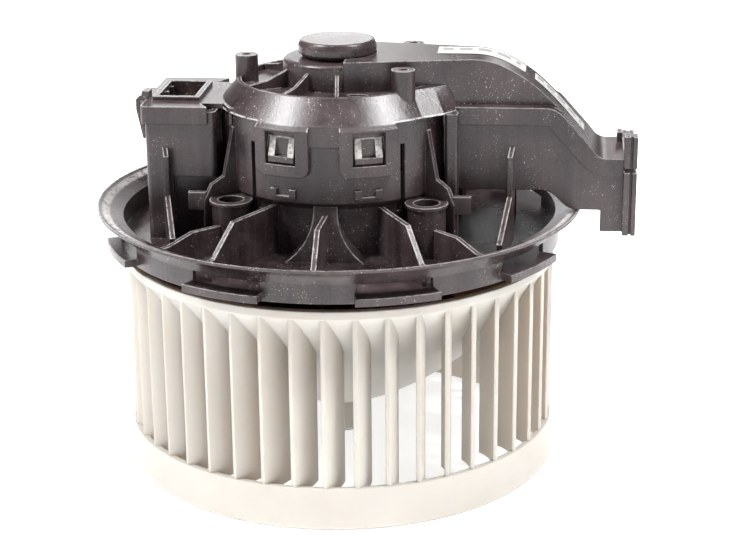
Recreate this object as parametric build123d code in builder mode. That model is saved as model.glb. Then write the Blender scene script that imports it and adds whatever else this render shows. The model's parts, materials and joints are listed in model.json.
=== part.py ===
from build123d import *
import os
from math import asin, atan, cos, degrees, hypot, radians, sin

# Car cabin blower: a brushed motor held in a moulded carrier, with a snap-on cover that takes
# cooling air from a side duct, and a drum fan on the shaft below.
# Z runs up along the motor shaft, X along the duct, and Z = 0 is the floor inside the flange.

# Fan
fan_radius = 75.0
fan_height = 74.6
fan_gap = 6.2
lower_ring_height = 14.3
lower_ring_wall = 2.0
lower_ring_taper = 1.0
foot_bead = 1.0
upper_ring_height = 2.8
upper_ring_radius = 74.0
blade_count = 45
blade_inner_radius = 62.5
blade_outer_radius = 73.4
blade_thickness = 1.5
blade_sweep = 4.8
blade_bow = 1.2
bell_wall = 2.2
bell_root_height = 17.0
bell_waist_radius = 30.0
bell_waist_height = 27.8
hub_radius = 7.5
hub_foot_height = 6.5

# Shaft and armature
shaft_radius = 3.0
shaft_top = 48.0
shaft_overhang = 1.4
shaft_chamfer = 0.5
clip_radius = 6.5
clip_thickness = 0.8
clip_slit_count = 3
clip_slit_length = 1.8
clip_slit_width = 0.8
core_radius = 23.5
core_bottom = -26.0
core_length = 36.0
slot_count = 12
slot_mouth = 2.4
slot_pocket_radius = 3.2
slot_pocket_pitch_radius = 17.0
winding_clearance = 0.1
winding_inner_radius = 6.0
winding_outer_radius = 21.0
winding_overhang = 8.5
commutator_radius = 8.5
commutator_bottom = 20.5
commutator_length = 14.0
commutator_slit = 0.6
commutator_slit_depth = 1.0
riser_radius = 10.0
riser_height = 1.8

# Motor case
can_radius = 33.0
can_wall = 1.8
can_bottom = -44.0
can_top = 36.0
can_vent_count = 6
can_vent_width = 4.0
can_vent_length = 11.0
can_vent_pitch_radius = 20.0
magnet_thickness = 6.9
magnet_bottom = -28.0
magnet_length = 40.0
magnet_span = 140.0
bearing_radius = 6.5
bearing_length = 7.0
bearing_clearance = 0.03
bearing_boss_wall = 2.8
bearing_shoulder = 1.2
shaft_hole_radius = 4.5
end_plate_thickness = 2.0
washer_radius = 5.6
washer_thickness = 0.6
thrust_gap = 0.3

# Brush gear
card_radius = 30.8
card_thickness = 2.4
card_bore_radius = 11.6
brush_width = 7.0
brush_height = 7.6
brush_length = 11.0
brush_clearance = 0.2
brush_face_gap = 0.2
tube_wall = 0.6
tube_inner_end = 10.4
tube_outer_end = 26.6
spring_wire = 0.5
spring_radius = 2.6
spring_turns = 4
choke_radius = 2.6
choke_core_length = 11.0
choke_pitch_radius = 24.0
choke_angle = 62.0

# Carrier
body_radius = 39.4
body_wall = 1.8
recess_radius = 37.0
panel_bottom = 18.5
panel_ledge = 2.2
cup_radius = 40.0
cup_bottom = -38.0
cup_lip_radius = 34.6
cup_lip_thickness = 2.0
isolator_height = 9.0
isolator_notches = 8
isolator_notch_radius = 1.6
floor_thickness = 2.2
flange_radius = 75.6
flange_bottom = -3.0
flange_inner_radius = 74.2
flange_inner_height = 7.0
flare_start = 3.4
flare_radius = 77.2
flare_height = 6.6
flange_rim_radius = 82.9
flange_rim_thickness = 1.1
flange_height = 10.4
lug_radius = 80.2
lug_height = 2.5
lug_span = 19.8
lug_angles = (30.7, 70.2, 112.0, 154.7)
lug_window_height = 3.4
lug_window_span = 18.6
rib_thickness = 1.7
rib_root_radius = 36.0
rib_end_radius = 74.8
rib_toe_radius = 71.5
rib_toe_height = 6.8
rib_shoulder_radius = 60.5
rib_height = 16.4
rib_root_height = 14.5
rib_angle = 27.6
low_rib_angle = 44.3
low_rib_shoulder_radius = 62.0
low_rib_height = 9.8
fin_foot_radius = 51.5
fin_foot_height = 16.5
fin_step_radius = 48.6
fin_step_height = 21.6
fin_waist_radius = 44.0
fin_waist_height = 23.8
fin_head = 0.8
fin_top = 40.0
fin_angle = 54.0
groove_angle = 38.5
groove_width = 1.7
groove_bottom = 14.0
groove_top = 37.0
buttress_top_width = 8.0
buttress_waist_width = 11.6
buttress_waist_height = 8.0
buttress_foot_width = 26.0
buttress_foot_radius = 44.0
post_radius = 7.1
post_stem_radius = 6.4
post_bore_radius = 4.2
post_height = 17.4
post_cap_height = 1.2
post_bore_depth = 9.0
post_x = 32.3
post_y = 31.4
pillar_x = 39.7
pillar_width = 4.2
pillar_front = 20.4
pillar_round = 1.0
bracket_x = 43.9
bracket_width = 5.8
bracket_front = 30.6
bracket_back = 28.6
bracket_bottom = 13.2
bracket_height = 6.0
catch_depth = 1.8
catch_root = 0.8
catch_bottom = 32.0
catch_height = 8.4
catch_land = 2.0
catch_half_width = 4.6
step_bottom = 19.8
step_height = 3.2
step_notch = 1.0
step_depth = 1.0
box_gusset_foot = (-56.2, 20.5)
box_gusset_toe = (-49.2, 46.5)
duct_gusset_foot = (59.6, 14.0)
duct_gusset_toe = (56.6, 45.5)
gusset_ledge = 6.0
gusset_toe_height = 8.0
gusset_step_height = 16.5
gusset_height = 30.0

# Connector box beside the body
box_left = -62.6
box_right = -38.6
box_half_width = 21.3
box_wall = 1.8
box_recess = 1.6
box_recess_top = 22.0
box_recess_left = -53.5
box_window_half_width = 9.0
box_window_bottom = 25.0
connector_x = -53.3
connector_length_x = 14.6
connector_length_y = 24.2
connector_collar = 0.7
connector_top = 47.3
connector_seat = 30.0
connector_floor = 2.4
connector_wall = 1.1
connector_rib_y = 10.4
connector_key = 1.2
connector_key_y = 8.0
blade_pin_width = 6.3
blade_pin_thickness = 0.8
blade_pin_y = 5.4
blade_pin_top = 44.0
blade_pin_bottom = 27.6
lead_height = 41.2
lead_width = 5.0
lead_drop_x = -44.4
lead_riser_x = -27.0

# Cover
lid_top = 46.0
lid_plate = 1.8
lid_corner = ((-44.5, 16.0), (-40.2, 24.0), (-33.0, 24.0), (-36.5, 16.0))
skirt_depth = 6.0
skirt_wall = 0.95
seat_clearance = 0.15
bevel_radius = 40.4
bevel_bottom = 44.3
deck_radius = 33.7
bevel_top = 52.4
deck_rim = 1.2
deck_height = 50.6
cover_wall = 1.9
hub_boss_radius = 18.2
hub_boss_top = 59.4
hub_boss_taper = 0.6
hub_boss_round = 1.6
air_window_half_width = 9.0
fairing_foot = ((26.0, 30.0), (37.5, 21.0), (42.2, 14.0))
fairing_head = ((22.0, 24.0), (33.5, 15.6), (37.6, 12.6))
hub_opening_radius = 9.0
deck_rib_thickness = 1.2
deck_rib_height = 57.0
deck_rib_waist = 53.4
deck_rib_angles = (-84.0, -116.0, -148.0, 148.0, 116.0, 84.0)
boss_radius = 3.9
boss_bore_radius = 1.65
boss_top = 59.5
boss_bore_depth = 8.0
single_boss_x = -31.0
pair_boss_x = 24.0
pair_boss_y = 21.8
deck_slot_length = 6.5
deck_slot_width = 2.6
deck_slot_x = 9.0
deck_slot_y = 21.5
loop_radius = 41.9
loop_top = 43.0
loop_bottom = 27.5
loop_half_width = 9.7
loop_round = 3.0
loop_window_half_width = 5.5
loop_window_bottom = 31.4
loop_window_top = 42.2
loop_angle = 20.4
band_bottom = 37.5
band_half_angle = 34.0
latch_reach = -68.6
latch_wall = 1.5
latch_knee = 41.0
latch_lean = 2.0
latch_bottom = 31.0
latch_half_width = 6.0
lock_block_width = 2.4
lock_block_length = 5.0
lock_block_x = -63.8
lock_block_y = 9.5
lock_block_height = 2.8

# Cap over the hub opening
cap_radius = 13.2
cap_face_radius = 12.4
cap_top = 65.2
cap_bead = 1.7
cap_gap = 0.15
cap_stem_length = 5.0
cap_stem_wall = 1.4

# Duct from the hub to the outlet
duct_start = 34.0
channel_start = 4.0
duct_end = 96.3
duct_half_width = 11.0
duct_root_half_width = 18.6
duct_end_half_width = 13.3
duct_taper_end = 46.0
duct_crest = 60.7
duct_shoulder = (62.0, 55.4)
duct_shoulder_slope = -0.6
duct_slope = -1.12
duct_slope_start = (78.0, 40.9)
duct_slope_length = 7.0
duct_flat = 28.8
duct_flat_start = 91.0
duct_ledge = 45.6
duct_ledge_half_width = 15.2
duct_ledge_bend = 70.0
duct_bottom = 11.0
duct_bottom_start = 81.7
duct_belly = 17.5
duct_belly_end = 69.0
duct_wall = 1.8
outlet_parting = 25.0
outlet_gap = 1.6
outlet_flange = 2.0
outlet_groove = 0.8
outlet_lip = 1.5
outlet_half_width = 18.6
outlet_bottom = 3.6
outlet_top = 30.4
outlet_ear_top = 37.2
outlet_ear_width = 5.4
outlet_foot_length = 7.2
outlet_knob_y = 10.5
outlet_knob_width = 5.0
outlet_knob_height = 3.4
outlet_knob_length = 1.8

os.makedirs("parts", exist_ok=True)


def save(builder, name):
    builder.part.label = name
    export_step(builder.part, f"parts/{name}.step")


def polar(radius, angle):
    return (radius * cos(radians(angle)), radius * sin(radians(angle)))


def radial_plane(angle):
    # Upright plane through the shaft, with its x axis pointing out at the angle
    return Plane(origin=(0, 0, 0), x_dir=(*polar(1, angle), 0), z_dir=(*polar(1, angle - 90), 0))


def sector(inner_radius, outer_radius, middle_angle, span):
    start = middle_angle - span / 2
    with BuildSketch() as ring_part:
        with BuildLine():
            outer_arc = CenterArc((0, 0), outer_radius, start, span)
            inner_arc = CenterArc((0, 0), inner_radius, start, span)
            Line(outer_arc @ 0, inner_arc @ 0)
            Line(outer_arc @ 1, inner_arc @ 1)
        make_face()
    return ring_part.sketch


# Heights that several pieces share
body_top = bevel_bottom
box_top = lid_top - lid_plate
fan_top = -fan_gap
fan_bottom = fan_top - fan_height
hub_foot = fan_bottom + hub_foot_height
bell_root = fan_bottom + bell_root_height
bell_waist = fan_bottom + bell_waist_height
bell_rim = fan_top - upper_ring_height
hub_top = bell_root + bell_wall
core_top = core_bottom + core_length
end_plate_top = can_top + end_plate_thickness
card_bottom = can_top - card_thickness
brush_middle = card_bottom - tube_wall - brush_clearance - brush_height / 2
can_inner_radius = can_radius - can_wall
boss_outer_radius = bearing_radius + bearing_boss_wall
lower_bearing_bottom = can_bottom - bearing_length
upper_bearing_bottom = end_plate_top + bearing_shoulder
spring_start = commutator_radius + brush_length
spring_end = tube_outer_end - tube_wall


# Fan: drum of swept blades between two rings, hung from a bell around the hub
with BuildSketch() as blade_section:
    inner_edge = Vector(*polar(blade_inner_radius, blade_sweep))
    outer_edge = Vector(blade_outer_radius, 0)
    chord = (outer_edge - inner_edge).normalized()
    normal = Vector(-chord.Y, chord.X)
    skin = normal * (blade_thickness / 2)
    middle = (inner_edge + outer_edge) / 2 + normal * blade_bow
    with BuildLine():
        near = ThreePointArc(inner_edge + skin, middle + skin, outer_edge + skin)
        far = ThreePointArc(outer_edge - skin, middle - skin, inner_edge - skin)
        Line(near @ 1, far @ 0)
        Line(far @ 1, near @ 0)
    make_face()

with BuildPart() as fan:
    with BuildSketch(Plane.XZ) as bell_section:
        with BuildLine():
            under = ThreePointArc(
                (hub_radius, bell_root),
                (bell_waist_radius, bell_waist),
                (blade_outer_radius, bell_rim),
            )
            Line(under @ 1, (upper_ring_radius, bell_rim))
            Line((upper_ring_radius, bell_rim), (upper_ring_radius, fan_top))
            Line((upper_ring_radius, fan_top), (blade_outer_radius - bell_wall, fan_top))
            over = ThreePointArc(
                (blade_outer_radius - bell_wall, fan_top),
                (bell_waist_radius, bell_waist + bell_wall),
                (hub_radius, hub_top),
            )
            Line(over @ 1, (shaft_radius, hub_top))
            Line((shaft_radius, hub_top), (shaft_radius, hub_foot))
            Line((shaft_radius, hub_foot), (hub_radius - shaft_chamfer, hub_foot))
            Line((hub_radius - shaft_chamfer, hub_foot), (hub_radius, hub_foot + shaft_chamfer))
            Line((hub_radius, hub_foot + shaft_chamfer), under @ 0)
        make_face()
    revolve(axis=Axis.Z)

    ring_top = fan_bottom + lower_ring_height
    ring_top_radius = fan_radius - lower_ring_taper
    with BuildSketch(Plane.XZ) as ring_section:
        with BuildLine():
            Polyline(
                (fan_radius - lower_ring_wall, fan_bottom),
                (fan_radius - foot_bead, fan_bottom),
                (fan_radius, fan_bottom + foot_bead),
                (ring_top_radius, ring_top),
                (ring_top_radius - lower_ring_wall, ring_top),
                close=True,
            )
        make_face()
    revolve(axis=Axis.Z)

    with BuildSketch(Plane.XY.offset(ring_top - lower_ring_wall)):
        with PolarLocations(0, blade_count):
            add(blade_section.sketch)
    extrude(amount=bell_rim - ring_top + lower_ring_wall)

    # The blades end under the bell
    with BuildSketch(Plane.XZ) as bell_hollow:
        with BuildLine():
            hollow = ThreePointArc(
                (blade_outer_radius - bell_wall, fan_top),
                (bell_waist_radius, bell_waist + bell_wall),
                (hub_radius, hub_top),
            )
            Polyline(hollow @ 1, (hub_radius, fan_top), hollow @ 0)
        make_face()
    revolve(axis=Axis.Z, mode=Mode.SUBTRACT)
save(fan, "fan")


# Shaft, and the spring washer that keeps the fan on it
with BuildPart() as shaft:
    shaft_bottom = hub_foot - clip_thickness - shaft_overhang
    with BuildSketch(Plane.XY.offset(shaft_bottom)):
        Circle(shaft_radius)
    extrude(amount=shaft_top - shaft_bottom)
    chamfer(shaft.edges().filter_by(GeomType.CIRCLE), length=shaft_chamfer)
save(shaft, "shaft")

with BuildPart() as shaft_clip:
    with BuildSketch(Plane.XY.offset(hub_foot - clip_thickness)):
        Circle(clip_radius)
        Circle(shaft_radius, mode=Mode.SUBTRACT)
        with PolarLocations(shaft_radius, clip_slit_count):
            Rectangle(2 * clip_slit_length, clip_slit_width, mode=Mode.SUBTRACT)
    extrude(amount=clip_thickness)
save(shaft_clip, "shaft_clip")


# Armature: slotted core, its winding and the commutator
with BuildPart() as armature_core:
    with BuildSketch(Plane.XY.offset(core_bottom)):
        Circle(core_radius)
        with PolarLocations(slot_pocket_pitch_radius, slot_count):
            Circle(slot_pocket_radius, mode=Mode.SUBTRACT)
            with Locations((core_radius - slot_pocket_pitch_radius, 0)):
                Rectangle(core_radius - slot_pocket_pitch_radius, slot_mouth, mode=Mode.SUBTRACT)
        Circle(shaft_radius, mode=Mode.SUBTRACT)
    extrude(amount=core_length)
save(armature_core, "armature_core")

with BuildPart() as armature_winding:
    with BuildSketch(Plane.XY.offset(core_bottom)):
        with PolarLocations(slot_pocket_pitch_radius, slot_count):
            Circle(slot_pocket_radius - winding_clearance)
    extrude(amount=core_length)
    for face_height, direction in ((core_top, 1), (core_bottom, -1)):
        with BuildSketch(Plane.XZ):
            with BuildLine():
                far_height = face_height + direction * winding_overhang
                near_height = face_height + direction * winding_overhang / 2
                Polyline(
                    (winding_inner_radius, face_height),
                    (winding_outer_radius, face_height),
                    (winding_outer_radius, near_height),
                    (winding_outer_radius * 0.8, far_height),
                    (winding_inner_radius + 2, far_height),
                    (winding_inner_radius, near_height),
                    close=True,
                )
            make_face()
        revolve(axis=Axis.Z)
save(armature_winding, "armature_winding")

with BuildPart() as commutator:
    with BuildSketch(Plane.XY.offset(commutator_bottom)):
        Circle(riser_radius)
        Circle(shaft_radius, mode=Mode.SUBTRACT)
    extrude(amount=riser_height)
    with BuildSketch(Plane.XY.offset(commutator_bottom)):
        Circle(commutator_radius)
        Circle(shaft_radius, mode=Mode.SUBTRACT)
    extrude(amount=commutator_length)
    with BuildSketch(Plane.XY.offset(commutator_bottom)):
        with PolarLocations(riser_radius, slot_count, start_angle=15):
            slit_length = 2 * (riser_radius - commutator_radius + commutator_slit_depth)
            Rectangle(slit_length, commutator_slit)
    extrude(amount=commutator_length, mode=Mode.SUBTRACT)
save(commutator, "commutator")

for name, seat in (
    ("thrust_washer_lower", can_bottom + thrust_gap),
    ("thrust_washer_upper", can_top - thrust_gap - washer_thickness),
):
    with BuildPart() as thrust_washer:
        with BuildSketch(Plane.XY.offset(seat)):
            Circle(washer_radius)
            Circle(shaft_radius, mode=Mode.SUBTRACT)
        extrude(amount=washer_thickness)
    save(thrust_washer, name)


# Motor case, magnets, end plate and bearings
with BuildPart() as motor_can:
    with BuildSketch(Plane.XZ):
        with BuildLine():
            Polyline(
                (shaft_hole_radius, lower_bearing_bottom - bearing_shoulder),
                (boss_outer_radius, lower_bearing_bottom - bearing_shoulder),
                (boss_outer_radius, can_bottom),
                (can_radius, can_bottom),
                (can_radius, can_top),
                (can_inner_radius, can_top),
                (can_inner_radius, can_bottom + can_wall),
                (bearing_radius, can_bottom + can_wall),
                (bearing_radius, lower_bearing_bottom),
                (shaft_hole_radius, lower_bearing_bottom),
                close=True,
            )
        make_face()
    revolve(axis=Axis.Z)
    with BuildSketch(Plane.XY.offset(can_bottom)):
        with PolarLocations(can_vent_pitch_radius, can_vent_count):
            SlotOverall(can_vent_length, can_vent_width)
    extrude(amount=can_wall, mode=Mode.SUBTRACT)
    fillet(
        motor_can.edges().filter_by(GeomType.CIRCLE).group_by(Axis.Z)[2].sort_by(SortBy.RADIUS)[-1],
        radius=can_wall,
    )
save(motor_can, "motor_can")

for name, middle_angle in (("field_magnet_front", -90), ("field_magnet_back", 90)):
    with BuildPart() as magnet:
        with BuildSketch(Plane.XY.offset(magnet_bottom)):
            add(sector(can_inner_radius - magnet_thickness, can_inner_radius, middle_angle, magnet_span))
        extrude(amount=magnet_length)
    save(magnet, name)

with BuildPart() as end_plate:
    with BuildSketch(Plane.XZ):
        boss_top_height = upper_bearing_bottom + bearing_length + bearing_shoulder
        with BuildLine():
            Polyline(
                (shaft_hole_radius, can_top),
                (can_radius, can_top),
                (can_radius, end_plate_top),
                (boss_outer_radius, end_plate_top),
                (boss_outer_radius, boss_top_height),
                (bearing_radius, boss_top_height),
                (bearing_radius, upper_bearing_bottom),
                (shaft_hole_radius, upper_bearing_bottom),
                close=True,
            )
        make_face()
    revolve(axis=Axis.Z)
    with BuildSketch(Plane.XY.offset(can_top)):
        with Locations((lead_riser_x, blade_pin_y), (lead_riser_x, -blade_pin_y)):
            Rectangle(4 * blade_pin_thickness, lead_width + 1)
    extrude(amount=end_plate_thickness, mode=Mode.SUBTRACT)
save(end_plate, "end_plate")

for name, seat in (("lower_bearing", lower_bearing_bottom), ("upper_bearing", upper_bearing_bottom)):
    with BuildPart() as bearing:
        with BuildSketch(Plane.XY.offset(seat)):
            Circle(bearing_radius)
            Circle(shaft_radius + bearing_clearance, mode=Mode.SUBTRACT)
        extrude(amount=bearing_length)
        outer_edges = bearing.edges().filter_by(GeomType.CIRCLE).group_by(SortBy.RADIUS)[-1]
        chamfer(outer_edges, length=shaft_chamfer)
    save(bearing, name)


# Brush gear: a card under the end plate carries two tubes, each with a sprung brush
with BuildPart() as brush_card:
    with BuildSketch(Plane.XY.offset(card_bottom)):
        Circle(card_radius)
        Circle(card_bore_radius, mode=Mode.SUBTRACT)
    extrude(amount=card_thickness)
save(brush_card, "brush_card")

tube_width = brush_width + 2 * (brush_clearance + tube_wall)
tube_height = brush_height + 2 * (brush_clearance + tube_wall)
for number, turn in ((1, 0), (2, 180)):
    radial = Plane.XY.offset(brush_middle).rotated((0, 0, turn))
    across_brush = Plane(radial.origin, x_dir=radial.y_dir, z_dir=radial.x_dir)

    with BuildPart() as brush_tube:
        with BuildSketch(across_brush.offset(tube_inner_end)):
            Rectangle(tube_width, tube_height)
        extrude(amount=tube_outer_end - tube_inner_end)
        with BuildSketch(across_brush.offset(tube_inner_end)):
            Rectangle(tube_width - 2 * tube_wall, tube_height - 2 * tube_wall)
        extrude(amount=spring_end - tube_inner_end, mode=Mode.SUBTRACT)
    save(brush_tube, f"brush_tube_{number}")

    with BuildPart() as carbon_brush:
        with BuildSketch(across_brush):
            Rectangle(brush_width, brush_height)
        extrude(amount=spring_start)
        with BuildSketch(Plane.XY.offset(brush_middle - brush_height)):
            Circle(commutator_radius + brush_face_gap)
        extrude(amount=2 * brush_height, mode=Mode.SUBTRACT)
    save(carbon_brush, f"carbon_brush_{number}")

    with BuildPart() as brush_spring:
        with BuildLine():
            coil_height = spring_end - spring_start - spring_wire
            coil = Helix(
                pitch=coil_height / spring_turns,
                height=coil_height,
                radius=spring_radius,
                center=across_brush.offset(spring_start + spring_wire / 2).origin,
                direction=across_brush.z_dir,
            )
        with BuildSketch(Plane(coil @ 0, z_dir=coil % 0)):
            Circle(spring_wire / 2)
        sweep(path=coil)
    save(brush_spring, f"brush_spring_{number}")

for number, turn in ((1, choke_angle), (2, -choke_angle)):
    choke_x, choke_y = polar(choke_pitch_radius, turn)
    with BuildPart() as choke:
        with BuildSketch(Plane.XY.offset(card_bottom - choke_core_length)):
            with Locations((choke_x, choke_y)):
                Circle(choke_radius)
        extrude(amount=choke_core_length)
        chamfer(choke.faces().sort_by(Axis.Z)[0].edges(), length=shaft_chamfer)
    save(choke, f"choke_{number}")


# Side views of the duct are drawn between lines of stations: a point and the slope there
slope_end = (
    duct_slope_start[0] + duct_slope_length,
    duct_slope_start[1] + duct_slope * duct_slope_length,
)
duct_descent = [
    (duct_slope_start, duct_slope),
    (slope_end, duct_slope),
    ((duct_flat_start, duct_flat), 0),
    ((duct_end, duct_flat), 0),
]
crest_line = [
    ((channel_start, duct_crest), 0),
    ((duct_taper_end, duct_crest), 0),
    (duct_shoulder, duct_shoulder_slope),
] + duct_descent
ledge_line = [
    ((channel_start, duct_ledge), 0),
    ((duct_ledge_bend, duct_ledge), 0),
] + duct_descent
belly_line = [
    ((channel_start, duct_belly), 0),
    ((duct_belly_end, duct_belly), 0),
    ((duct_bottom_start, duct_bottom), 0),
    ((duct_end, duct_bottom), 0),
]


def duct_curve(line, inset):
    stations = []
    for (x, z), slope in line:
        lean = atan(slope)
        stations.append((x + inset * sin(lean), z - inset * cos(lean)))
    for number in range(len(line) - 1):
        start, end = stations[number], stations[number + 1]
        start_slope, end_slope = line[number][1], line[number + 1][1]
        if start_slope == end_slope and (start_slope or start[1] == end[1]):
            Line(start, end)
        else:
            Spline(start, end, tangents=[(1, start_slope), (1, end_slope)])
    return stations[0], stations[-1]


def duct_side(top_line, top_inset, bottom_line, bottom_inset):
    with BuildSketch(Plane.XZ) as side_view:
        with BuildLine():
            top_start, top_end = duct_curve(top_line, top_inset)
            bottom_start, bottom_end = duct_curve(bottom_line, bottom_inset)
            Line(top_end, bottom_end)
            Line(bottom_start, top_start)
        make_face()
    return side_view.sketch


def duct_plan(start, root_half_width, half_width, end_half_width):
    with BuildSketch() as plan:
        with BuildLine():
            Polyline(
                (start, -root_half_width),
                (duct_taper_end, -half_width),
                (slope_end[0], -half_width),
                (duct_flat_start, -end_half_width),
                (duct_end, -end_half_width),
                (duct_end, end_half_width),
                (duct_flat_start, end_half_width),
                (slope_end[0], half_width),
                (duct_taper_end, half_width),
                (start, root_half_width),
                close=True,
            )
        make_face()
    return plan.sketch


def duct_body(plan, side_view):
    # The plan raised to the crest, kept where the side view covers it
    with BuildPart() as body:
        extrude(plan, amount=duct_crest)
        extrude(side_view, amount=duct_end, both=True, mode=Mode.INTERSECT)
    return body.part


# Lower half of the duct: an open trough that the cover's skirt closes over
trough_half_width = duct_ledge_half_width - skirt_wall - seat_clearance
trough_inner_half_width = trough_half_width - duct_wall
duct_trough = duct_body(
    duct_plan(duct_start, trough_half_width, trough_half_width, trough_half_width),
    duct_side(ledge_line, cover_wall + seat_clearance, belly_line, 0),
)
duct_trough_space = duct_body(
    duct_plan(duct_start, trough_inner_half_width, trough_inner_half_width, trough_inner_half_width),
    duct_side(ledge_line, 0, belly_line, -duct_wall),
)


def outlet_flanges(bottom, top, near, far):
    # Two thin flanges from near to far across the duct, with a seal groove between them
    flange_end = duct_end + outlet_flange
    with BuildPart() as flanges:
        for start, length, inset in (
            (duct_end, outlet_flange, 0),
            (flange_end, outlet_groove, 2 * outlet_groove),
            (flange_end + outlet_groove, outlet_lip, 0),
        ):
            with BuildSketch(Plane.YZ.offset(start)):
                with Locations(((near + far) / 2, (bottom + top) / 2)):
                    Rectangle(far - near - 2 * inset, top - bottom)
            extrude(amount=length)
    return flanges.part


outlet_end = duct_end + outlet_flange + outlet_groove + outlet_lip


def upright_rib(foot, toe, outline, thickness=rib_thickness):
    # Flat rib that stands on the line from foot to toe; its outline runs along that line and up
    run = (Vector(*toe) - Vector(*foot)).normalized()
    with BuildPart() as rib:
        with BuildSketch(Plane(origin=foot, x_dir=run, z_dir=run.cross(Vector(0, 0, 1)))):
            with BuildLine():
                Polyline(*outline, close=True)
            make_face()
        extrude(amount=thickness / 2, both=True)
    return rib.part


def radial_rib(angle, outline):
    return upright_rib((0, 0), polar(1, angle), outline)


fin_outline = (
    (rib_root_radius, 0),
    (fin_foot_radius, 0),
    (fin_foot_radius, fin_foot_height),
    (fin_step_radius, fin_step_height),
    (fin_waist_radius, fin_waist_height),
    (body_radius + fin_head, fin_top),
    (body_radius - fin_head, fin_top),
    (body_radius - fin_head, panel_bottom),
)


def gusset_outline(length):
    return (
        (-rib_thickness, 0),
        (length, 0),
        (length, gusset_toe_height),
        (gusset_ledge, gusset_step_height),
        (gusset_ledge, gusset_height),
        (-rib_thickness, gusset_height + gusset_ledge / 2),
    )


def rib_outline(shoulder_radius, height, root_height):
    return (
        (rib_root_radius, 0),
        (rib_end_radius, 0),
        (rib_end_radius, rib_toe_height),
        (rib_toe_radius, rib_toe_height),
        (shoulder_radius, height),
        (rib_root_radius, root_height),
    )


def flared_buttress(facing):
    # Front view with hollow sides, kept where the side view covers it
    top = panel_bottom - panel_ledge / 2
    with BuildPart() as buttress:
        with BuildSketch(Plane.XZ):
            with BuildLine():
                left, right = (
                    ThreePointArc(
                        (side * buttress_foot_width / 2, 0),
                        (side * buttress_waist_width / 2, buttress_waist_height),
                        (side * buttress_top_width / 2, top),
                    )
                    for side in (-1, 1)
                )
                Line(left @ 0, right @ 0)
                Line(left @ 1, right @ 1)
            make_face()
        extrude(amount=-facing * buttress_foot_radius)
        with BuildSketch(Plane.YZ):
            with BuildLine():
                Polyline(
                    (facing * rib_root_radius, 0),
                    (facing * buttress_foot_radius, 0),
                    (facing * (body_radius - body_wall / 2), top),
                    (facing * rib_root_radius, top),
                    close=True,
                )
            make_face()
        extrude(amount=buttress_foot_width, both=True, mode=Mode.INTERSECT)
    return buttress.part


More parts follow.
